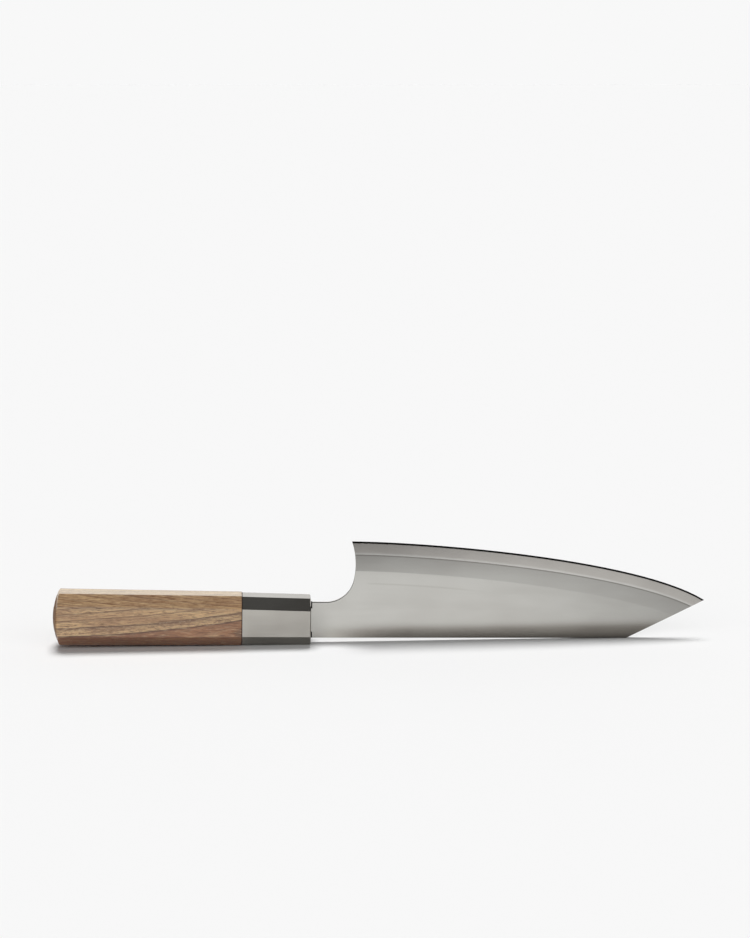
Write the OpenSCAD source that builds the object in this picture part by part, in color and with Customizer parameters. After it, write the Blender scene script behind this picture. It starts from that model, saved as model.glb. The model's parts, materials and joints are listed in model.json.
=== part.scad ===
// Boning knife with a three-layer blade, an octagonal metal ferrule and an octagonal wooden handle.
// It stands edge up: on the lower front edge of the ferrule and on the corner where the spine
// turns up to the tip. +X runs from the butt to the tip, +Z is up, and the blade lies on the XZ plane.

/* [Blade outline] */
// Length of the cutting part, from heel to tip
blade_length = 160; // [120:1:210]
// Height of the blade at the heel, from spine to edge
blade_height = 44; // [34:0.5:60]
// Height of the tip above the line of the spine
tip_height = 17.6; // [10:0.1:26]
// Length of the straight slanted back, from the corner of the spine to the tip
tip_run = 35.2; // [20:0.2:50]
// How far the edge runs on straight from the heel before it starts to fall
edge_straight = 31.6; // [10:0.2:60]
// Length of the belly's pull towards the tip
belly_run = 31.3; // [10:0.1:60]
// Height of the belly's pull above the tip
belly_rise = 19.2; // [5:0.1:24]
// Length of the neck, from its shoulders to the heel
neck_length = 17.4; // [14:0.1:30]
// Height of the neck
neck_height = 16.3; // [13.5:0.1:20]
// Radius of the curve from the neck up into the choil
choil_radius = 12.6; // [8:0.1:14]
// Angle that the choil's lower curve turns through
choil_turn = 78; // [60:1:88]
// Radius of the choil's upper curve, which undercuts the heel
choil_flare = 33.4; // [28:0.1:60]
// Width of the rounding along the neck and the choil, seen from the side
choil_ease = 0.8; // [0.3:0.1:1.2]

/* [Blade section] */
// Thickness of the blade at the spine, where it leaves the handle
spine_thickness = 2.2; // [1.6:0.05:3.5]
// Thickness of the blade at the tip, measured on the line of the spine
tip_thickness = 1.3; // [1.1:0.05:1.6]
// Thickness of the hard core steel at the handle
core_thickness = 0.84; // [0.6:0.02:1]
// Height of the band of bare core steel along the edge
core_band = 5.9; // [3:0.1:8]
// Distance from the edge down to the line where the flank's bevel starts
bevel_band = 13.4; // [9:0.1:16]
// Thickness that each flank loses over a height of one millimetre
flank_lean = 0.01; // [0:0.001:0.012]
// Height of the cutting bevel along the edge
edge_bevel = 0.75; // [0.4:0.05:1.2]
// Thickness of the blade at the foot of the cutting bevel
edge_shoulder = 0.28; // [0.16:0.02:0.4]
// Thickness of the edge itself
edge_thickness = 0.03; // [0.01:0.01:0.06]

/* [Tang] */
// Length of the tang behind the ferrule's front face
tang_length = 82; // [60:1:98]
// Height of the tang at the shoulders
tang_height = 10.7; // [8:0.1:12]
// Height of the tang at its far end
tang_end_height = 5; // [3:0.1:8]
// Gap between the neck's shoulders and the ferrule
shoulder_gap = 0.75; // [0.2:0.05:1.5]
// Room around the tang, filled with resin
tang_clearance = 0.3; // [0.1:0.05:0.6]

/* [Ferrule] */
// Length of the ferrule
ferrule_length = 30.5; // [20:0.5:45]
// Width of the ferrule, side to side
ferrule_width = 17.8; // [17:0.1:23]
// Height of the ferrule at its front
ferrule_front_height = 21.2; // [19:0.1:27]
// Height of the ferrule at its back
ferrule_back_height = 22; // [19:0.1:28]
// Length of the octagon's corner cuts, along the width and the height
corner_cut = 4.7; // [3.5:0.1:6]
// Chamfer around the ferrule's front face
ferrule_chamfer = 0.35; // [0.1:0.05:1]
// Thickness of the ferrule's front wall
ferrule_wall = 4; // [2:0.1:8]

/* [Handle] */
// Length of the wooden handle, from its front face to its domed end
handle_length = 83.8; // [75:0.1:130]
// Width of the handle at its back
handle_back_width = 19.6; // [18:0.1:25]
// Height of the handle at its back
handle_back_height = 23.4; // [20:0.1:30]
// How far the wood stands proud of the ferrule
wood_step = 0.3; // [0:0.05:0.6]
// Radius of the domed end
dome_radius = 28; // [16:0.5:60]
// Thickness of the spacer between ferrule and wood
spacer_thickness = 0.35; // [0.2:0.05:1.5]
// Wall of the wooden tenon around the tang's hole
tenon_wall = 1.5; // [1.2:0.1:1.6]
// Room around the tenon in the ferrule
tenon_clearance = 0.05; // [0.02:0.01:0.1]
// Depth of the resin between the ferrule's front wall and the tenon
resin_gap = 6.5; // [2:0.1:12]
// Depth of the tang's hole beyond the end of the tang
hole_spare = 2; // [0.5:0.1:5]
// Height of the blade's spine above the underside of the handle
spine_lift = 2.45; // [1:0.05:4]

/* [Hidden] */
$fn = 96;

// How far cutting shapes run past the faces that they cut
over = 1;
// Number of straight steps along the edge and along each curve of the choil
edge_steps = 28;
choil_steps = 14;
// Number of straight steps around the rounding of the choil
ease_steps = 5;
// Thickness of cladding that the rounding leaves square at the outline
ease_land = 0.06;

// Places along the blade, measured from the ferrule's front face and the handle's underside
heel_x = shoulder_gap + neck_length;
heel_z = spine_lift + blade_height;
tip_x = heel_x + blade_length;
tip_z = spine_lift + tip_height;
corner_x = tip_x - tip_run;
neck_top = spine_lift + neck_height;
axis_z = spine_lift + neck_height / 2;
tang_end_x = -tang_length;

// The round hole for the tang, the tenon around it and the bore that takes the tenon
tang_hole_d = sqrt(pow(tang_height, 2) + pow(spine_thickness, 2)) + 2 * tang_clearance;
tenon_d = tang_hole_d + 2 * tenon_wall;
ferrule_bore_d = tenon_d + 2 * tenon_clearance;

// Places along the handle
ferrule_back_x = -ferrule_length;
tenon_face_x = -ferrule_wall - resin_gap;
wood_front_x = ferrule_back_x - spacer_thickness;
butt_x = wood_front_x - handle_length;
hole_end_x = tang_end_x - hole_spare;
wood_front_width = ferrule_width + 2 * wood_step;
wood_front_height = ferrule_back_height + wood_step;
dome_x = butt_x + dome_radius;
dome_z = handle_back_height / 2;

// The knife leans forward until the corner of the spine meets the surface under the ferrule
foot_x = -ferrule_chamfer;
lean = atan(spine_lift / (corner_x - foot_x));
tip_reach = (tip_x - foot_x) * cos(lean) + tip_z * sin(lean);
butt_reach = (dome_x - foot_x) * cos(lean) + dome_z * sin(lean) - dome_radius;
middle_x = foot_x + (tip_reach + butt_reach) / 2;

// The edge is one smooth curve from the heel to the tip
edge_pull = [heel_x + edge_straight, heel_z];
belly_pull = [tip_x - belly_run, tip_z + belly_rise];

function edge_point(t) =
    pow(1 - t, 3) * [heel_x, heel_z]
    + 3 * pow(1 - t, 2) * t * edge_pull
    + 3 * (1 - t) * pow(t, 2) * belly_pull
    + pow(t, 3) * [tip_x, tip_z];

// The choil is two arcs, the upper one ending at the heel
flare_foot = neck_top + choil_radius * (1 - cos(choil_turn));
flare_turn = acos(cos(choil_turn) - (heel_z - flare_foot) / choil_flare);
choil_x = heel_x - choil_radius * sin(choil_turn) - choil_flare * (sin(flare_turn) - sin(choil_turn));
flare_x = choil_x + choil_radius * sin(choil_turn);

function choil_low(a) = [choil_x + choil_radius * sin(a), neck_top + choil_radius * (1 - cos(a))];

function choil_high(a) = [
    flare_x + choil_flare * (sin(a) - sin(choil_turn)),
    flare_foot + choil_flare * (cos(choil_turn) - cos(a))
];

// Share of the full thickness that is left at x: the blade thins evenly from the ferrule to the tip
function thinning(x) = x < 0 ? 1 : 1 - (1 - tip_thickness / spine_thickness) * x / tip_x;

function flank_y(x, z) = spine_thickness / 2 * thinning(x) - flank_lean * (z - spine_lift);

function core_y(x) = core_thickness / 2 * thinning(x);

// Stations along the blade: x and the height of the edge there
past_tip = edge_point(1) + 3 * (edge_point(1) - edge_point(1 - 1 / edge_steps)) / 4;
stations = concat(
    [[tang_end_x - over, heel_z], [0, heel_z]],
    [for (i = [0:edge_steps]) edge_point(i / edge_steps)],
    [past_tip]
);
blade_floor = spine_lift - over;

// A slice through the core: flat sides, the bare band and the cutting bevel
function core_slice(s) = [
    [s[0], -core_y(s[0]), blade_floor],
    [s[0], core_y(s[0]), blade_floor],
    [s[0], core_y(s[0]), s[1] - core_band],
    [s[0], edge_shoulder / 2, s[1] - edge_bevel],
    [s[0], edge_thickness / 2, s[1]],
    [s[0], -edge_thickness / 2, s[1]],
    [s[0], -edge_shoulder / 2, s[1] - edge_bevel],
    [s[0], -core_y(s[0]), s[1] - core_band]
];

// A slice through the whole thickness of the blade, up to where its bevels start
function whole_slice(s) = let (low = flank_y(s[0], blade_floor), high = flank_y(s[0], s[1] - bevel_band)) [
    [s[0], -low, blade_floor],
    [s[0], low, blade_floor],
    [s[0], high, s[1] - bevel_band],
    [s[0], -high, s[1] - bevel_band]
];

// A slice through the rear cladding: it runs out to nothing where the bare core starts
function cladding_slice(s) = [
    [s[0], core_y(s[0]), blade_floor],
    [s[0], flank_y(s[0], blade_floor), blade_floor],
    [s[0], flank_y(s[0], s[1] - bevel_band), s[1] - bevel_band],
    [s[0], core_y(s[0]), s[1] - core_band]
];

// An upright octagon at x, from z = low to z = high
function octagon(x, width, low, high) = let (w = width / 2, c = corner_cut) [
    [x, c - w, low],
    [x, w - c, low],
    [x, w, low + c],
    [x, w, high - c],
    [x, w - c, high],
    [x, c - w, high],
    [x, -w, high - c],
    [x, -w, low + c]
];

// The wood's own outline, which keeps its taper past both of its ends
function wood_share(x) = (wood_front_x - x) / handle_length;

function wood_octagon(x) = octagon(
    x,
    wood_front_width + (handle_back_width - wood_front_width) * wood_share(x),
    0,
    wood_front_height + (handle_back_height - wood_front_height) * wood_share(x)
);

// A closed solid through slices that follow each other along +X
module loft(slices) {
    n = len(slices[0]);
    last = len(slices) - 1;
    points = [for (slice = slices) for (p = slice) p];
    near_cap = [[for (i = [0:n - 1]) i]];
    far_cap = [[for (i = [n - 1:-1:0]) last * n + i]];
    sides = [for (k = [0:last - 1]) for (i = [0:n - 1]) let (j = (i + 1) % n, a = k * n, b = a + n)
        each [[a + i, b + i, b + j], [a + i, b + j, a + j]]];
    polyhedron(points, concat(near_cap, far_cap, sides), convexity = 6);
}

// Round bar along X
module bar(x_from, x_to, d) {
    translate([x_from, 0, axis_z])
        rotate([0, 90, 0])
            cylinder(h = x_to - x_from, d = d);
}

// Side view of the blade, its neck and its tang, running on past the edge above
module blade_outline() {
    past_edge = heel_z + 10;
    slope = tip_height / tip_run;
    polygon(concat(
        [
            [tang_end_x, axis_z - tang_end_height / 2],
            [shoulder_gap, axis_z - tang_height / 2],
            [shoulder_gap, spine_lift],
            [corner_x, spine_lift],
            [tip_x + 10, tip_z + 10 * slope],
            [tip_x + 10, past_edge],
            [heel_x, past_edge]
        ],
        [for (i = [choil_steps:-1:0]) choil_high(choil_turn + (flare_turn - choil_turn) * i / choil_steps)],
        [for (i = [choil_steps - 1:-1:0]) choil_low(choil_turn * i / choil_steps)],
        [
            [shoulder_gap, neck_top],
            [shoulder_gap, axis_z + tang_height / 2],
            [tang_end_x, axis_z + tang_end_height / 2]
        ]
    ));
}

module trim_to_outline() {
    intersection() {
        rotate([90, 0, 0])
            linear_extrude(height = 2 * spine_thickness, center = true)
                blade_outline();
        children();
    }
}

// A solid with the blade's full thickness, from the end of the tang to the heel
module blade_blank() {
    loft([for (i = [0:2]) whole_slice(stations[i])]);
}

// The space that the tang takes up in the resin around it
module tang_space() {
    trim_to_outline()
        blade_blank();
}

// Stands the knife in its resting place, with the origin under the middle of its length
module at_rest() {
    translate([foot_x - middle_x, 0, 0])
        rotate([0, lean, 0])
            translate([-foot_x, 0, 0])
                children();
}

module blade_core() {
    color("slategray")
        at_rest()
            trim_to_outline()
                loft([for (s = stations) core_slice(s)]);
}

// The line that the rounding follows: x, z and the angle turned through, from the neck to past the heel
function ease_line() = let (past_heel = flare_turn + 3) concat(
    [[shoulder_gap - over, neck_top, 0]],
    [for (i = [0:choil_steps]) let (a = choil_turn * i / choil_steps) [each choil_low(a), a]],
    [for (i = [1:choil_steps]) let (a = choil_turn + (past_heel - choil_turn) * i / choil_steps)
        [each choil_high(a), a]]
);

// A slice through what the rounding takes off: depth from the outline and height from the blade's middle
ease_foot = core_thickness / 2 + ease_land;
ease_rise = spine_thickness / 2 - ease_foot;

function ease_corner() = concat(
    [[-over, ease_foot]],
    [for (i = [0:ease_steps]) let (a = 90 * i / ease_steps)
        [choil_ease * (1 - cos(a)), ease_foot + ease_rise * sin(a)]],
    [[choil_ease, spine_thickness], [-over, spine_thickness]]
);

function ease_slice(p) = [for (c = ease_corner()) [p[0] + c[0] * sin(p[2]), c[1], p[1] - c[0] * cos(p[2])]];

module ease_cutter() {
    loft([for (p = ease_line()) ease_slice(p)]);
}

module cladding() {
    difference() {
        trim_to_outline()
            loft([for (s = stations) cladding_slice(s)]);
        ease_cutter();
    }
}

module rear_cladding() {
    color("silver")
        at_rest()
            cladding();
}

module front_cladding() {
    color("silver")
        at_rest()
            mirror([0, 1, 0])
                cladding();
}

module ferrule() {
    c = ferrule_chamfer;
    slot_height = tang_height + 2 * tang_clearance;
    slot_width = spine_thickness + 2 * tang_clearance;
    color("gainsboro")
        at_rest()
            difference() {
                loft([
                    octagon(ferrule_back_x, ferrule_width, 0, ferrule_back_height),
                    octagon(-c, ferrule_width, 0, ferrule_front_height),
                    octagon(0, ferrule_width - 2 * c, c, ferrule_front_height - c)
                ]);
                bar(ferrule_back_x - over, -ferrule_wall, ferrule_bore_d);
                translate([-ferrule_wall - over, -slot_width / 2, axis_z - slot_height / 2])
                    cube([ferrule_wall + 2 * over, slot_width, slot_height]);
            }
}

// Black resin that fills the ferrule's slot and the gap at the shoulders
module mouth_seal() {
    fill_height = tang_height + 2 * tang_clearance;
    fill_width = spine_thickness + 2 * tang_clearance;
    color("black")
        at_rest()
            difference() {
                union() {
                    translate([-ferrule_wall, -fill_width / 2, axis_z - fill_height / 2])
                        cube([ferrule_wall, fill_width, fill_height]);
                    intersection() {
                        translate([0, -spine_thickness / 2, spine_lift])
                            cube([shoulder_gap, spine_thickness, neck_height]);
                        blade_blank();
                    }
                }
                tang_space();
            }
}

module seam_spacer() {
    color("maroon")
        at_rest()
            difference() {
                loft([
                    octagon(wood_front_x, ferrule_width, 0, ferrule_back_height),
                    octagon(ferrule_back_x, ferrule_width, 0, ferrule_back_height)
                ]);
                bar(wood_front_x - over, ferrule_back_x + over, ferrule_bore_d);
            }
}

module handle_body() {
    color("peru")
        at_rest()
            difference() {
                union() {
                    intersection() {
                        loft([wood_octagon(butt_x - over), wood_octagon(wood_front_x)]);
                        union() {
                            translate([dome_x, 0, dome_z])
                                sphere(r = dome_radius);
                            translate([dome_x, 0, dome_z])
                                rotate([0, 90, 0])
                                    cylinder(h = handle_length, r = dome_radius);
                        }
                    }
                    bar(wood_front_x - over, tenon_face_x, tenon_d);
                }
                bar(hole_end_x, tenon_face_x + over, tang_hole_d);
            }
}

// Clear resin that holds the tang, from the ferrule's front wall to the end of its hole
module tang_resin() {
    color("khaki")
        at_rest()
            difference() {
                union() {
                    bar(tenon_face_x, -ferrule_wall, ferrule_bore_d);
                    bar(hole_end_x, tenon_face_x, tang_hole_d);
                }
                tang_space();
            }
}

blade_core();
front_cladding();
rear_cladding();
ferrule();
mouth_seal();
seam_spacer();
handle_body();
tang_resin();
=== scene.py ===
import json
import math

import bmesh
import bpy
from mathutils import Matrix, Vector


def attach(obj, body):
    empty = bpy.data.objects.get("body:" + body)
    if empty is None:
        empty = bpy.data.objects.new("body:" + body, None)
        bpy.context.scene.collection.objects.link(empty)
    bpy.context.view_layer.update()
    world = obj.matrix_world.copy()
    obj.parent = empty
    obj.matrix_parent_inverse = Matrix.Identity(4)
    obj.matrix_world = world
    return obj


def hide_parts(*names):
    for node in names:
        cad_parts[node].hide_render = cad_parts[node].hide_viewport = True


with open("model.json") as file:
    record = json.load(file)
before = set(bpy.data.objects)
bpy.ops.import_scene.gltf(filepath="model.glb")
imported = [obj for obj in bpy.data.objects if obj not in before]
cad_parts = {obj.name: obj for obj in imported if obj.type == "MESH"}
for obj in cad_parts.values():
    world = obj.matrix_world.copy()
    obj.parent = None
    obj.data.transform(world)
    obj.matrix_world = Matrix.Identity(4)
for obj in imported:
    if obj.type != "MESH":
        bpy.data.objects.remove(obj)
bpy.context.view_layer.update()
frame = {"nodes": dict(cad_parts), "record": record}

MM = 0.001

# The knife's own frame: the front of the ferrule is at x = 0, the underside of the handle at
# z = 0, and the blade stands on y = 0. The knife leans forward by the angle of its underside.
mounts = {mount["name"]: mount for mount in frame["record"]["mounts"]}
underside = Vector(mounts["handle_underside"]["axis"])
lean = math.atan2(-underside.x, -underside.z)
unturned = Matrix.Rotation(-lean, 4, "Y")


def turned_box(node, turn):
    """The lowest and highest corners of a CAD node after a turn."""
    corners = [turn @ vertex.co for vertex in frame["nodes"][node].data.vertices]
    low = Vector([min(corner[axis] for corner in corners) for axis in range(3)])
    high = Vector([max(corner[axis] for corner in corners) for axis in range(3)])
    return low, high


ferrule_low, ferrule_high = turned_box("ferrule", unturned)
origin = Vector((ferrule_high.x, 0, ferrule_low.z))
to_knife = Matrix.Translation(-origin) @ unturned
to_stand = to_knife.inverted()


def knife_box(node):
    """The lowest and highest corners of a CAD node in the knife's own frame."""
    return turned_box(node, to_knife)


# ---------------------------------------------------------------- finishes


class Wire:
    """A value in a node tree, which Python's own operators act on."""

    def __init__(self, nodes, socket):
        self.nodes = nodes
        self.socket = socket

    def maths(self, operation, first, second=0.0):
        return self.nodes.node("Math", {"operation": operation}, {0: first, 1: second})

    def __add__(self, other):
        return self.maths("ADD", self, other)

    def __sub__(self, other):
        return self.maths("SUBTRACT", self, other)

    def __rsub__(self, other):
        return self.maths("SUBTRACT", other, self)

    def __mul__(self, other):
        return self.maths("MULTIPLY", self, other)

    def __truediv__(self, other):
        return self.maths("DIVIDE", self, other)

    __radd__ = __add__
    __rmul__ = __mul__


class Nodes:
    """A node tree that is built from expressions."""

    def __init__(self, tree):
        self.tree = tree

    def feed(self, socket, value):
        if isinstance(value, Wire):
            self.tree.links.new(value.socket, socket)
        else:
            socket.default_value = value

    def node(self, kind, settings, sockets, output=0):
        made = self.tree.nodes.new("ShaderNode" + kind)
        for name, value in settings.items():
            setattr(made, name, value)
        for name, value in sockets.items():
            self.feed(made.inputs[name], value)
        return Wire(self, made.outputs[output])

    def vector(self, x, y, z):
        return self.node("CombineXYZ", {}, {0: x, 1: y, 2: z})

    def parts(self, vector):
        return [self.node("SeparateXYZ", {}, {0: vector}, axis) for axis in range(3)]

    def noise(self, x, y, z, detail=2.0, roughness=0.5):
        """Soft noise around 0, between about -0.5 and 0.5."""
        sockets = {"Vector": self.vector(x, y, z), "Scale": 1.0, "Detail": detail, "Roughness": roughness}
        return self.node("TexNoise", {"noise_dimensions": "3D"}, sockets) - 0.5

    def streaks(self, along, detail=1.0):
        """Noise along one value, around 0."""
        sockets = {"W": along, "Scale": 1.0, "Detail": detail}
        return self.node("TexNoise", {"noise_dimensions": "1D"}, sockets) - 0.5

    def step(self, value, start, end):
        """A soft step from 0 to 1 as the value goes from start to end."""
        sockets = {"Value": value, "From Min": start, "From Max": end}
        return self.node("MapRange", {"interpolation_type": "SMOOTHSTEP"}, sockets)

    def mix(self, share, first, second):
        colours = {0: share, 6: first, 7: second}
        return self.node("Mix", {"data_type": "RGBA"}, colours, 2)

    def layers(self, colour, coats):
        """Lays coats over a colour in turn. Each coat is its share and its 8-bit display values."""
        for share, tint in coats:
            colour = self.mix(share, colour, shade(*tint))
        return colour

    def attribute(self, name):
        return self.node("Attribute", {"attribute_name": name}, {}, "Fac")


class Finish(Nodes):
    """A material on the Principled shader, with constants on the shader's own sockets."""

    def __init__(self, name, constants):
        self.material = bpy.data.materials.new(name)
        self.material.use_nodes = True
        super().__init__(self.material.node_tree)
        self.shader = self.tree.nodes["Principled BSDF"]
        for socket, value in constants.items():
            self.shader.inputs[socket].default_value = value

    def place(self):
        """The three coordinates of a point in the knife's own frame, in millimetres."""
        spot = self.node("TexCoord", {}, {}, "Object")
        sockets = {
            "Vector": spot,
            "Location": -origin / MM,
            "Rotation": (0, -lean, 0),
            "Scale": (1 / MM,) * 3,
        }
        return self.parts(self.node("Mapping", {}, sockets))

    def paint(self, colour, roughness, height=None, depth=0.0):
        """Feeds the shader. The depth of the relief is in millimetres for one unit of height."""
        self.feed(self.shader.inputs["Base Color"], colour)
        self.feed(self.shader.inputs["Roughness"], roughness)
        if height is not None:
            sockets = {"Height": height, "Distance": depth * MM, "Strength": 1.0}
            self.feed(self.shader.inputs["Normal"], self.node("Bump", {}, sockets))
        return self.material


def shade(red, green, blue):
    """A colour from its 8-bit display values."""
    def linear(level):
        level /= 255
        return level / 12.92 if level <= 0.04045 else ((level + 0.055) / 1.055) ** 2.4
    return linear(red), linear(green), linear(blue), 1


# Places and slopes on the handle are in the knife's own frame, in millimetres.

# The growth rings run around a pith that lies behind the handle and climbs towards the blade
PITH_Y = 40.0
PITH_Z = 10.1
PITH_CLIMB = 0.12
FIRST_RING = 49.5
RING = 0.92
BEND_MIDDLE = -74.0
BEND_RISE = 0.014
BEND_CURVE = 0.000185

# The red heartwood lies under a line that climbs from the butt to the ferrule
HEART_START = -114.0
HEART_HEIGHT = 5.0
HEART_RISE = 0.0192
HEART_CURVE = 0.000864

# The top flat is painted lighter and creamier as a painted sheen, its two bevels greyer as painted shade,
# and the lower bevels darker as painted shade
TOP_FLAT = 20.8
UPPER_BEVEL = 16.6
LOWER_BEVEL = 5.6
FLAT_HALF_WIDTH = (4.12, 4.9)

# The butt shows end grain past a darker rim, and its finish has worn off
END_GRAIN = -113.0
DARK_RIM = -112.2
WORN_FROM = -111.6


def ring_radius(wood, x, y, z, tremble):
    """The distance from the pith, drawn slightly out of round."""
    across_y = y - PITH_Y
    across_z = z - PITH_Z - x * PITH_CLIMB
    squares = across_y * across_y + across_z * across_z
    wander = wood.noise(x * 0.013, y * 0.05, z * 0.05, 1.0) * 0.25
    along = x - BEND_MIDDLE
    bend = along * (BEND_RISE - along * BEND_CURVE)
    return wood.node("Math", {"operation": "SQRT"}, {0: squares}) + wander + tremble + bend


def above_heart(x, z, tremble):
    """The height of a point above the top of the heartwood."""
    along = x - HEART_START
    return z - (HEART_HEIGHT + along * (HEART_RISE + along * HEART_CURVE)) + tremble * 5


def oiled_wood():
    """Brown hardwood: growth rings, a redder heart, fine streaks along the grain and open pores."""
    wood = Finish("oiled_wood", {"Specular IOR Level": 0.5, "Coat Roughness": 0.12})
    x, y, z = wood.place()

    tremble = wood.noise(x * 0.12, y * 0.4, z * 0.4, 3.0) * 0.14
    radius = ring_radius(wood, x, y, z, tremble)
    rings = (radius - FIRST_RING) / RING
    turn = wood.node("Math", {"operation": "FRACT"}, {0: rings})
    late = wood.step(turn, 0.72, 0.96) * wood.step(turn, 1.0, 0.975)
    broad = wood.step(turn, 0.2, 0.95) * wood.step(turn, 1.0, 0.97)
    strength = 0.45 + wood.step(wood.streaks(rings * 0.9 + 3.7), -0.2, 0.2) * 0.55
    line = late * strength

    above = above_heart(x, z, tremble)
    heart = wood.step(above, 0.1, -0.1)
    heart_rim = wood.step(above, -1.1, -0.15) * wood.step(above, 0.2, 0.0)
    beside_heart = wood.step(above, 0.0, 0.4) * wood.step(above, 4.6, 2.2)

    cloud = wood.noise(x * 0.03, y * 0.2, z * 0.2, 3.0)
    fibre = wood.noise(x * 0.22, y * 2.2, z * 2.2, 4.0, 0.65)
    blotch = wood.noise(x * 0.4, y * 0.8, z * 0.8 + 5, 2.0, 0.6)
    hair = wood.noise(x * 0.6, y * 7.0, z * 7.0, 3.0, 0.6)
    flecks = wood.noise(x * 0.55, y * 1.9, z * 1.9, 3.0, 0.7)
    streak = wood.noise(x * 0.04, y * 0.2, radius * 6.0, 3.0, 0.6)
    dashes = wood.step(wood.noise(x * 0.2, y * 1.9 + 11, z * 1.9, 2.0, 0.6), 0.1, 0.24)
    pores = wood.step(wood.noise(x * 0.22, y * 4.5 + 31, z * 4.5, 2.0), 0.12, 0.22)

    narrow, wide = (half_width ** 2 for half_width in FLAT_HALF_WIDTH)
    # Facet masks for painted light: painted shade on the upper and lower bevels, a painted sheen on the top
    # flat
    upper_bevel_painted_shade = wood.step(z + cloud * 6, UPPER_BEVEL, UPPER_BEVEL + 2.4)
    upper_bevel_painted_shade = upper_bevel_painted_shade * wood.step(y * y, narrow, wide)
    top_flat_painted_sheen = wood.step(z, TOP_FLAT, TOP_FLAT + 0.4) * wood.step(y * y, wide, narrow)
    lower_bevel_painted_shade = wood.step(z, LOWER_BEVEL, LOWER_BEVEL - 1.4)
    end_grain = wood.step(x, END_GRAIN, END_GRAIN - 0.6)
    dark_rim = wood.step(x, DARK_RIM, DARK_RIM - 0.6) * (1 - end_grain)
    worn = wood.step(x, WORN_FROM, WORN_FROM - 1.2)

    tan = wood.mix(wood.step(cloud, -0.2, 0.2), shade(188, 146, 104), shade(226, 186, 134))
    red = wood.mix(wood.step(cloud, -0.2, 0.2), shade(150, 98, 62), shade(166, 112, 72))
    body = wood.layers(wood.mix(heart, tan, red), (
        (broad * strength * 0.42, (122, 92, 70)),
        (line * 0.9, (88, 60, 42)),
        (beside_heart * wood.step(flecks, 0.0, 0.16) * 0.75, (126, 90, 70)),
        (beside_heart * wood.step(flecks, -0.02, -0.18) * 0.6, (226, 196, 158)),
        (heart_rim * 0.9, (92, 56, 38)),
        # The next three coats are painted light: painted shade on the upper and lower bevels, a painted
        # sheen on the top flat
        (upper_bevel_painted_shade * 0.55, (142, 118, 98)),
        (lower_bevel_painted_shade * 0.7, (118, 62, 30)),
        (top_flat_painted_sheen * 0.3, (226, 212, 160)),
        (wood.step(blotch, 0.0, 0.2) * 0.35, (132, 98, 70)),
        (wood.step(streak, 0.0, 0.24) * 0.75, (124, 88, 60)),
        (wood.step(streak, -0.02, -0.26) * 0.5, (228, 198, 152)),
        (dashes * 0.7, (92, 60, 42)),
        (wood.step(fibre, 0.0, 0.2) * 0.85, (116, 80, 54)),
        (wood.step(fibre, -0.02, -0.24) * 0.55, (228, 198, 154)),
        (pores * 0.8, (80, 52, 36)),
        (dark_rim * 0.55, (92, 54, 34)),
        (end_grain * 0.8, (104, 70, 44)),
    ))
    wood.feed(wood.shader.inputs["Coat Weight"], 0.9 - worn * 0.9)
    dull = 0.33 + hair * 0.2 + pores * 0.2 + worn * 0.4
    relief = hair * 0.35 + fibre * 0.5 - pores * 0.9 - line * 0.3
    return wood.paint(body, dull, relief, 0.05)


# Depths under the cutting edge, in millimetres
CUTTING_BEVEL = 0.75
CORE_BAND = 5.9
HEAT_LINE = 18.95


def brushed_ferrule():
    """Satin steel, brushed along the ferrule."""
    steel = Finish("brushed_ferrule", {"Metallic": 1.0})
    x, y, z = steel.place()
    marks = steel.noise(x * 0.06, y * 4.0, z * 4.0, 3.0, 0.6)
    cloud = steel.noise(x * 0.04, y * 0.05, z * 0.07, 2.0)
    mottle = steel.step(cloud + marks * 0.4, -0.3, 0.3)
    colour = steel.mix(mottle, shade(180, 176, 169), shade(196, 193, 186))
    return steel.paint(colour, 0.2 + marks * 0.07 + cloud * 0.04, marks, 0.004)


def core_steel():
    """The bare core: finely polished, brighter beside the cladding, mirror-like on the cutting bevel, which
    carries a painted dark reflection in its colour.
    """
    steel = Finish("core_steel", {"Metallic": 1.0})
    x, y, z = steel.place()
    below = steel.attribute("below_edge")
    marks = steel.noise(x * 2.6, y * 2.6, z * 0.12, 3.0, 0.6)
    cloud = steel.noise(x * 0.05, y * 0.05, z * 0.08, 2.0)
    wavy = below + steel.noise(x * 0.12, 0.0, 0.0, 2.0) * 0.5
    seam = steel.step(wavy, CORE_BAND - 1.3, CORE_BAND - 0.3)
    mottle = steel.step(cloud + marks * 0.3, -0.3, 0.3)
    colour = steel.mix(mottle, shade(214, 210, 204), shade(224, 220, 214))
    # The cutting bevel is made smoother, and its colour is darkened as a painted dark reflection
    keen_painted_dark = steel.step(below, CUTTING_BEVEL + 0.25, CUTTING_BEVEL + 0.05)
    colour = steel.layers(colour, ((seam * 0.9, (244, 242, 237)), (keen_painted_dark * 0.9, (92, 88, 85))))
    dull = 0.17 + marks * 0.05 + cloud * 0.04 - keen_painted_dark * 0.09 + seam * 0.03
    return steel.paint(colour, dull, marks, 0.0006)


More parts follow.
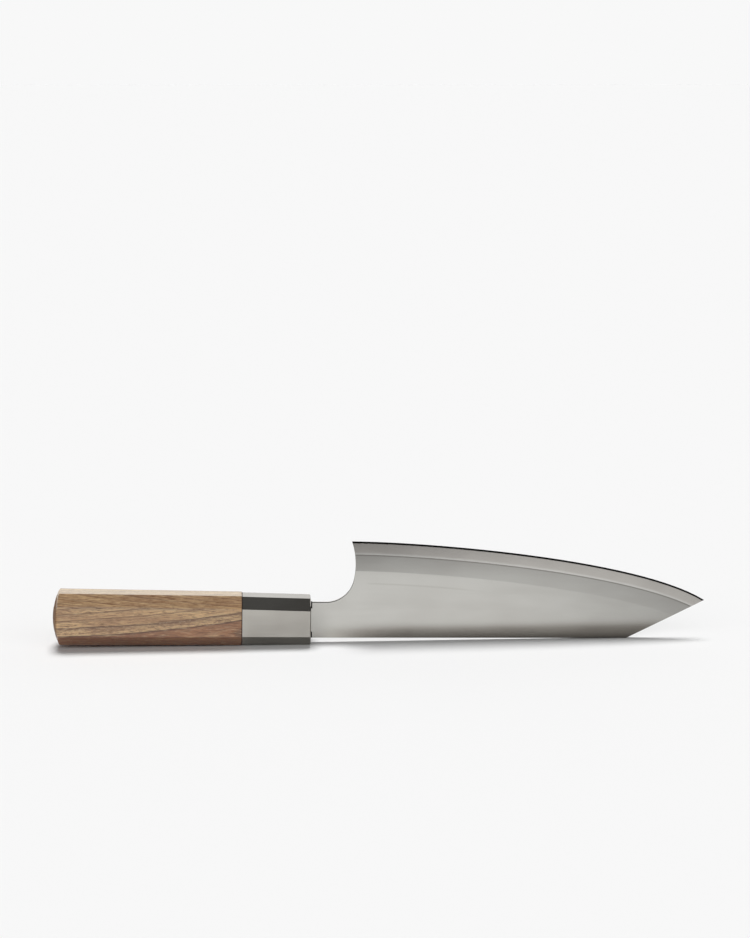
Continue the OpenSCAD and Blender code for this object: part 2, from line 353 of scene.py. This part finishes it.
def cladding_steel():
    """The softer sides: satin with upright grinding marks, a dark line where the core comes out, and a
    painted dark reflection on the rounded edges.
    """
    steel = Finish("cladding_steel", {"Metallic": 1.0})
    x, y, z = steel.place()
    below = steel.attribute("below_edge")
    marks = steel.noise(x * 3.6, y * 3.6, z * 0.08, 3.0, 0.6)
    cloud = steel.noise(x * 0.03, y * 0.05, z * 0.09, 3.0)
    haze = steel.noise(x * 0.07, y * 0.2, z * 0.6, 2.0)
    wavy = below + steel.noise(x * 0.12, 0.0, 0.0, 2.0) * 0.25
    seam = steel.step(wavy, CORE_BAND + 0.75, CORE_BAND + 0.3)
    heat = steel.step(below, HEAT_LINE - 0.55, HEAT_LINE - 0.05)
    heat = heat * steel.step(below, HEAT_LINE + 0.55, HEAT_LINE + 0.05)
    heat = heat * steel.step(x, 22.0, 30.0) * steel.step(x, 86.0, 58.0)
    # Rounded edges are made smoother, and their colour is darkened as a painted dark reflection
    polished_painted_dark = steel.step(steel.attribute("rounded"), 0.0, 0.4)
    mottle = steel.step(cloud + marks * 0.3 + haze * 0.3, -0.3, 0.3)
    colour = steel.layers(steel.mix(mottle, shade(193, 191, 186), shade(205, 204, 199)), (
        (seam * 0.5, (128, 123, 116)),
        (heat * 0.3, (168, 164, 158)),
        (polished_painted_dark * 0.85, (78, 74, 71)),
    ))
    dull = 0.17 + marks * 0.06 + cloud * 0.05 + haze * 0.03 - polished_painted_dark * 0.08
    return steel.paint(colour, dull, marks, 0.0012)


def cast_resin(name, tint, gloss):
    """Resin with a faintly uneven surface."""
    resin = Finish(name, {"Specular IOR Level": 0.35})
    x, y, z = resin.place()
    grit = resin.noise(x * 1.4, y * 1.4, z * 1.4, 3.0)
    colour = resin.mix(resin.step(grit, -0.3, 0.3), tint[0], tint[1])
    return resin.paint(colour, gloss + grit * 0.2, grit, 0.02)


finishes = {
    "core_steel": core_steel(),
    "cladding_steel": cladding_steel(),
    "ferrule_metal": brushed_ferrule(),
    "seal_resin": cast_resin("seal_resin", (shade(14, 13, 13), shade(26, 25, 24)), 0.6),
    "spacer_fibre": cast_resin("spacer_fibre", (shade(38, 22, 20), shade(54, 32, 28)), 0.65),
    "handle_wood": oiled_wood(),
    "bedding_resin": cast_resin("bedding_resin", (shade(150, 112, 58), shade(176, 138, 80)), 0.25),
}


# ---------------------------------------------------------------- pieces

# Sizes of the visual pieces
BLADE_LENGTHS = 32
ON_CORE_LINE = 0.03 * MM
FERRULE_BORE = 6.5 * MM
FERRULE_EDGE = 0.2 * MM
HANDLE_BEVEL = 4.7 * MM
HANDLE_EDGE = 0.4 * MM
BUTT_RADIUS = 28 * MM
SPACER_INSET = 0.3 * MM
BUTT_CUTS = (-0.84, -0.68, -0.36, -0.18, 0, 0.18, 0.36, 0.68, 0.84)
CRISP_FLANK = math.radians(1)
CRISP_BLADE = math.radians(28)
CRISP_CORNER = math.radians(40)
EASED_CORNER = math.radians(30)


def own_piece(name, mesh_tree, slot, node):
    """Turns a bmesh in the row frame into a finished piece that stands for a CAD node."""
    mesh = bpy.data.meshes.new(name)
    mesh_tree.to_mesh(mesh)
    mesh_tree.free()
    mesh.materials.append(finishes[slot])
    piece = bpy.data.objects.new(name, mesh)
    bpy.context.scene.collection.objects.link(piece)
    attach(piece, "root")
    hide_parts(node)
    return piece


def merged_copy(node):
    """A CAD node's mesh with its loose triangles joined, in the knife's own frame."""
    mesh_tree = bmesh.new()
    mesh_tree.from_mesh(frame["nodes"][node].data)
    bmesh.ops.remove_doubles(mesh_tree, verts=mesh_tree.verts, dist=0.002 * MM)
    bmesh.ops.transform(mesh_tree, matrix=to_knife, verts=mesh_tree.verts)
    mesh_tree.normal_update()
    return mesh_tree


def smooth_faces(mesh_tree, is_crisp):
    for face in mesh_tree.faces:
        face.smooth = True
    for edge in mesh_tree.edges:
        edge.smooth = not is_crisp(edge)


def flank_line(edge):
    """Whether a blade's edge is a line to keep crisp: faint on the flanks, plain elsewhere."""
    if len(edge.link_faces) != 2:
        return True
    on_flank = all(abs(face.normal.y) > 0.95 for face in edge.link_faces)
    return edge.calc_face_angle() > (CRISP_FLANK if on_flank else CRISP_BLADE)


def cutting_edge():
    """Points along the cutting edge, in the knife's own frame, from the heel to the tip."""
    corners = [to_knife @ vertex.co for vertex in frame["nodes"]["blade_core"].data.vertices]
    above_spine = knife_box("blade_core")[0].z + 10 * MM
    return sorted(
        (corner.x, corner.z) for corner in corners
        if abs(corner.y) < ON_CORE_LINE and corner.z > above_spine
    )


edge_line = cutting_edge()


def edge_height(x):
    """The height of the cutting edge at a place along the knife."""
    for (near_x, near_z), (far_x, far_z) in zip(edge_line, edge_line[1:]):
        if near_x <= x <= far_x and far_x > near_x:
            return near_z + (far_z - near_z) * (x - near_x) / (far_x - near_x)
    return edge_line[0][1] if x < edge_line[0][0] else edge_line[-1][1]


def blade_piece(name, slot, node):
    """A blade layer, cut across. Its points know their depth under the edge and if they are rounded off."""
    steel = merged_copy(node)
    heel_x = edge_line[0][0]
    tip_x = edge_line[-1][0]
    for cut in range(1, BLADE_LENGTHS):
        bmesh.ops.bisect_plane(
            steel, geom=steel.verts[:] + steel.edges[:] + steel.faces[:], dist=0.002 * MM,
            plane_co=(heel_x + (tip_x - heel_x) * cut / BLADE_LENGTHS, 0, 0), plane_no=(1, 0, 0),
        )
    steel.normal_update()
    depth = steel.verts.layers.float.new("below_edge")
    rounded = steel.verts.layers.float.new("rounded")
    for vertex in steel.verts:
        vertex[depth] = (edge_height(vertex.co.x) - vertex.co.z) / MM
        flattest = max((abs(face.normal.y) for face in vertex.link_faces), default=1.0)
        vertex[rounded] = float(flattest < 0.99)
    smooth_faces(steel, flank_line)
    bmesh.ops.transform(steel, matrix=to_stand, verts=steel.verts)
    return own_piece(name, steel, slot, node)


def plain_corner(edge):
    return len(edge.link_faces) != 2 or edge.calc_face_angle() > CRISP_CORNER


def weigh_normals(piece):
    """Keeps the flats flat next to their eased edges."""
    weights = piece.modifiers.new("flats", "WEIGHTED_NORMAL")
    weights.keep_sharp = True
    weights.weight = 100


def is_convex(edge):
    return edge.is_manifold and edge.calc_face_angle_signed() > EASED_CORNER


def build_ferrule():
    """The octagonal cap, with its outer edges eased."""
    metal = merged_copy("ferrule")
    bmesh.ops.dissolve_limit(
        metal, angle_limit=math.radians(0.05), verts=metal.verts, edges=metal.edges
    )
    low, high = knife_box("ferrule")
    middle_z = (low.z + high.z) / 2

    def outside(edge):
        """Whether an edge lies clear of the bore and the slot."""
        return all(
            abs(vertex.co.y) > FERRULE_BORE or abs(vertex.co.z - middle_z) > FERRULE_BORE + 1.2 * MM
            for vertex in edge.verts
        )

    rim = [edge for edge in metal.edges if is_convex(edge) and outside(edge)]
    bmesh.ops.bevel(
        metal, geom=rim, offset=FERRULE_EDGE, offset_type="OFFSET", segments=3,
        profile=0.5, affect="EDGES", material=-1, clamp_overlap=True,
    )
    metal.normal_update()
    smooth_faces(metal, plain_corner)
    bmesh.ops.transform(metal, matrix=to_stand, verts=metal.verts)
    weigh_normals(own_piece("octagonal_ferrule", metal, "ferrule_metal", "ferrule"))


def build_handle():
    """The wood: a tapered octagonal bar with a domed butt and eased edges. Its inside is left solid."""
    low, high = knife_box("handle_body")
    spacer_low, spacer_high = knife_box("seam_spacer")
    front_x = spacer_low.x
    front_half = spacer_high.y + SPACER_INSET
    front_top = spacer_high.z + SPACER_INSET
    back_half = high.y
    back_top = high.z
    dome_x = low.x + BUTT_RADIUS
    dome_z = back_top / 2
    wood = bmesh.new()
    bmesh.ops.create_cube(wood, size=1)
    for corner in wood.verts:
        front = corner.co.x > 0
        half = front_half if front else back_half
        top = front_top if front else back_top
        corner.co = Vector((
            front_x if front else low.x,
            math.copysign(half, corner.co.y),
            top if corner.co.z > 0 else 0,
        ))
    long_edges = [
        edge for edge in wood.edges
        if abs(edge.verts[0].co.x - edge.verts[1].co.x) > HANDLE_BEVEL
    ]
    bmesh.ops.bevel(
        wood, geom=long_edges, offset=HANDLE_BEVEL, offset_type="OFFSET", segments=1,
        profile=0.5, affect="EDGES", material=-1,
    )
    for share in BUTT_CUTS:
        for spot, across in (
            (Vector((0, share * back_half, 0)), Vector((0, 1, 0))),
            (Vector((0, 0, dome_z * (1 + share))), Vector((0, 0, 1))),
        ):
            bmesh.ops.bisect_plane(
                wood, geom=wood.verts[:] + wood.edges[:] + wood.faces[:],
                dist=0.01 * MM, plane_co=spot, plane_no=across,
            )
    for vertex in wood.verts:
        if vertex.co.x < low.x + 0.01 * MM:
            out = math.hypot(vertex.co.y, vertex.co.z - dome_z)
            vertex.co.x = dome_x - math.sqrt(BUTT_RADIUS ** 2 - out ** 2)
    wood.normal_update()
    corners = [edge for edge in wood.edges if edge.calc_face_angle(0) > EASED_CORNER]
    bmesh.ops.bevel(
        wood, geom=corners, offset=HANDLE_EDGE, offset_type="OFFSET", segments=3,
        profile=0.5, affect="EDGES", material=-1, clamp_overlap=True,
    )
    wood.normal_update()
    bmesh.ops.recalc_face_normals(wood, faces=wood.faces)
    smooth_faces(wood, plain_corner)
    bmesh.ops.transform(wood, matrix=to_stand, verts=wood.verts)
    weigh_normals(own_piece("octagonal_handle", wood, "handle_wood", "handle_body"))


blade_piece("core_plate", "core_steel", "blade_core")
blade_piece("front_side", "cladding_steel", "front_cladding")
blade_piece("rear_side", "cladding_steel", "rear_cladding")
build_ferrule()
build_handle()

for node, slot in (
    ("mouth_seal", "seal_resin"),
    ("seam_spacer", "spacer_fibre"),
    ("tang_resin", "bedding_resin"),
):
    frame["nodes"][node].material_slots[0].material = finishes[slot]


# ---------------------------------------------------------------- stage

BACKDROP = 0.939
DIM_ROOM = 0.03
FRONT_FILL = 1.12
PAPER = 0.86
FLOOR_HALF = 15
FLOOR_FRONT = -0.42
LAMP_STRENGTH = 2.66
LAMP_WIDTH = math.radians(28)
LAMP_TILT = math.radians(-15.5)
LAMP_TURN = math.radians(4)
CAMERA_SPOT = (-0.06043, -0.96533, 0.25491)
CAMERA_TILT = math.radians(90 - 10.318)
CAMERA_TURN = math.radians(-3.416)


def lay_floor():
    """White paper that the camera sees evenly lit. For all other rays it has painted light near the knife,
    painted shade further off, and a warm painted shadow close by the blade and the ferrule.
    """
    sheet = bmesh.new()
    bmesh.ops.create_grid(sheet, x_segments=1, y_segments=1, size=FLOOR_HALF)
    bmesh.ops.translate(sheet, verts=sheet.verts, vec=(0, FLOOR_HALF + FLOOR_FRONT, 0))
    mesh = bpy.data.meshes.new("studio_floor")
    sheet.to_mesh(mesh)
    sheet.free()
    paper = Finish("white_paper", {"Specular IOR Level": 0.0, "Roughness": 1.0})
    x, y, z = paper.parts(paper.node("TexCoord", {}, {}, "Object"))
    seen = paper.node("LightPath", {}, {}, "Is Camera Ray")
    # Painted light and shade for reflections and bounce light: lighter near the knife and darker further
    # off, a warm painted shadow beside the blade, and painted shade under and ahead of the ferrule
    near = paper.step(y, -0.36, -0.12) * paper.step(x, 0.23, 0.04) * paper.step(x, -0.7, -0.25)
    blade_painted_shadow = paper.step(y, -0.036, -0.022) * paper.step(y, 0.03, 0.02) * paper.step(x, -0.045, 0.012)
    by_ferrule = paper.step(x, -0.066, -0.058) * paper.step(x, -0.02, -0.03)
    under = paper.step(y, -0.02, -0.01) * by_ferrule
    painted_shade_ahead_of_ferrule = paper.step(y, -0.09, -0.04) * by_ferrule
    level = PAPER * (0.4 + near * 0.6) * (1 - blade_painted_shadow * 0.7) * (1 - under * 0.2) * (1 - painted_shade_ahead_of_ferrule * 0.22)
    level = level + seen * (PAPER - level)
    painted_shadow_warmth = blade_painted_shadow * (1 - seen) * 0.07
    channels = {0: level * (1 + painted_shadow_warmth), 1: level, 2: level * (1 - painted_shadow_warmth)}
    paper.feed(paper.shader.inputs["Base Color"], paper.node("CombineColor", {}, channels))
    mesh.materials.append(paper.material)
    floor = bpy.data.objects.new("studio_floor", mesh)
    bpy.context.scene.collection.objects.link(floor)


def light_studio():
    """A bright backdrop behind, a fill in front that mirrors hardly show, and a broad lamp above."""
    world = bpy.data.worlds.new("studio")
    world.use_nodes = True
    bpy.context.scene.world = world
    room = Nodes(world.node_tree)
    x, y, z = room.parts(room.node("TexCoord", {}, {}, "Generated"))
    behind = room.step(y, -0.05, 0.45) * room.step(z, 0.75, 0.35) * room.step(x, -0.7, -0.4)
    before = room.step(y, -0.2, -0.5) * room.step(z, 0.12, 0.38) * room.step(z, 0.82, 0.6)
    mirrored = room.node("LightPath", {}, {}, "Is Glossy Ray")
    dim = DIM_ROOM + room.step(z, 0.8, 0.95) * 0.07
    behind = behind * (0.55 + mirrored * 0.45)
    level = dim + behind * (BACKDROP - dim) + before * (1 - mirrored * 0.92) * FRONT_FILL
    seen = room.node("LightPath", {}, {}, "Is Camera Ray")
    level = level + seen * (BACKDROP - level)
    colour = room.node("CombineColor", {}, {0: level, 1: level, 2: level})
    room.feed(world.node_tree.nodes["Background"].inputs["Color"], colour)
    lamp = bpy.data.lights.new("broad_lamp", "SUN")
    lamp.energy = LAMP_STRENGTH
    lamp.angle = LAMP_WIDTH
    key = bpy.data.objects.new("broad_lamp", lamp)
    key.visible_glossy = False
    key.rotation_euler = (LAMP_TILT, 0, LAMP_TURN)
    bpy.context.scene.collection.objects.link(key)


def set_camera():
    """A short telephoto view from the front, slightly above the knife."""
    lens = bpy.data.cameras.new("camera")
    lens.lens = 85
    lens.sensor_width = 36
    lens.clip_start = 0.05
    lens.clip_end = 100
    camera = bpy.data.objects.new("camera", lens)
    camera.location = CAMERA_SPOT
    camera.rotation_euler = (CAMERA_TILT, 0, CAMERA_TURN)
    bpy.context.scene.collection.objects.link(camera)
    bpy.context.scene.camera = camera


lay_floor()
light_studio()
set_camera()
bpy.context.scene.view_settings.view_transform = "Standard"
